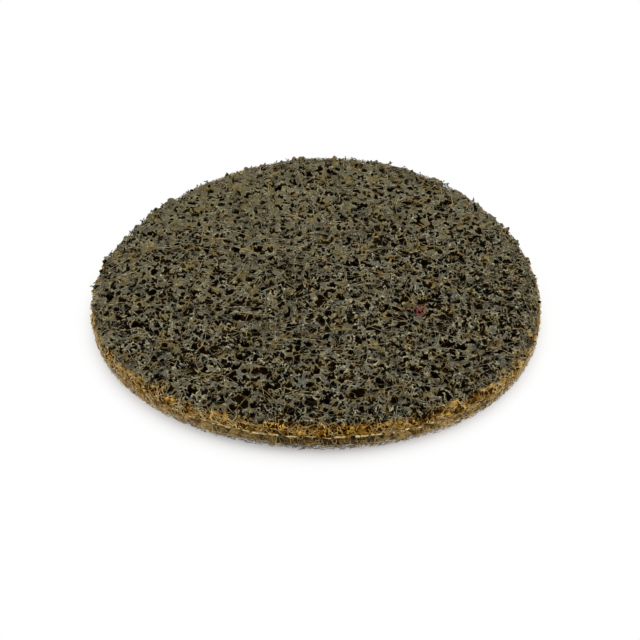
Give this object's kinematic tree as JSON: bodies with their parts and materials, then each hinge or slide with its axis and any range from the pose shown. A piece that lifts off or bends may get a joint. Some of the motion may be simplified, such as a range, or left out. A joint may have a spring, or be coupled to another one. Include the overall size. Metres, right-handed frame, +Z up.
{
  "type": "surface conditioning disc",
  "caption": "Round non-woven abrasive disc with an open, pitted working face, a woven scrim in its middle and a fibre nap behind that a hook-faced pad grips.",
  "frame": {"origin": "centre of the flat underside, on the surface that the disc lies on", "axes": "+Z up through the disc, from the nap to the working face; -Y is the side nearest the viewer in the picture, +X to its right"},
  "size_m": [0.1162, 0.1144, 0.0069],
  "materials": {
    "grit_resin": "dull grey-olive resin and grit over tan fibres, near black in the pores",
    "scrim_yarn": "cream yarn, soft sheen",
    "nap_fibre": "golden brown fibre fuzz"
  },
  "bodies": {
    "root": {"abrasive_web": "grit_resin", "reinforcing_scrim": "scrim_yarn", "backing_nap": "nap_fibre"}
  },
  "joints": []
}
